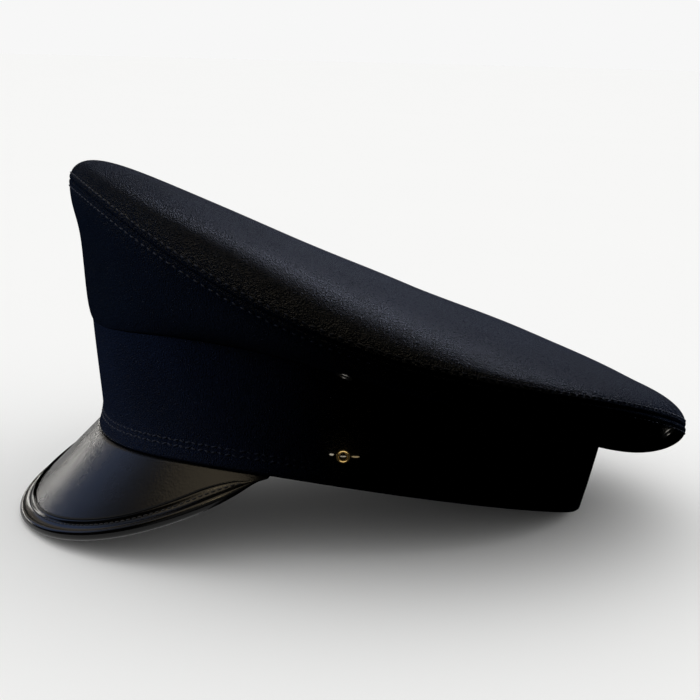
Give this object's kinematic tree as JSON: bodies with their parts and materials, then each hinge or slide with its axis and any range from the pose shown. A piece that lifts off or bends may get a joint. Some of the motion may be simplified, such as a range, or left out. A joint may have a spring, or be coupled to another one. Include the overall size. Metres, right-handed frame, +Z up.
{
  "type": "peaked cap",
  "caption": "Peaked cap: a tilted oval crown that overhangs an upright band, brass eyelets at the band's sides, and a steep glossy peak with a bound rim.",
  "frame": {"origin": "middle of the cap's length and width, on the table that it rests on", "axes": "+Z up, -Y to the front of the cap, +X to the wearer's left"},
  "size_m": [0.2488, 0.2794, 0.145],
  "materials": {
    "crown_cloth": "navy wool cloth with a short nap",
    "band_cloth": "navy wool cloth with a short nap",
    "patent_peak": "black patent leather, semi-gloss",
    "patent_binding": "black patent leather, stitched",
    "brass": "polished",
    "dark_metal": "black lacquer, worn at the rims"
  },
  "bodies": {
    "root": {"crown_top": "crown_cloth", "crown_side_front": "crown_cloth", "crown_side_rear": "crown_cloth", "cap_band": "band_cloth", "peak": "patent_peak", "peak_binding": "patent_binding", "band_eyelet_left": "brass", "band_eyelet_right": "brass", "side_vent_left": "dark_metal", "side_vent_right": "dark_metal", "rear_vent_left": "dark_metal", "rear_vent_right": "dark_metal"}
  },
  "joints": []
}
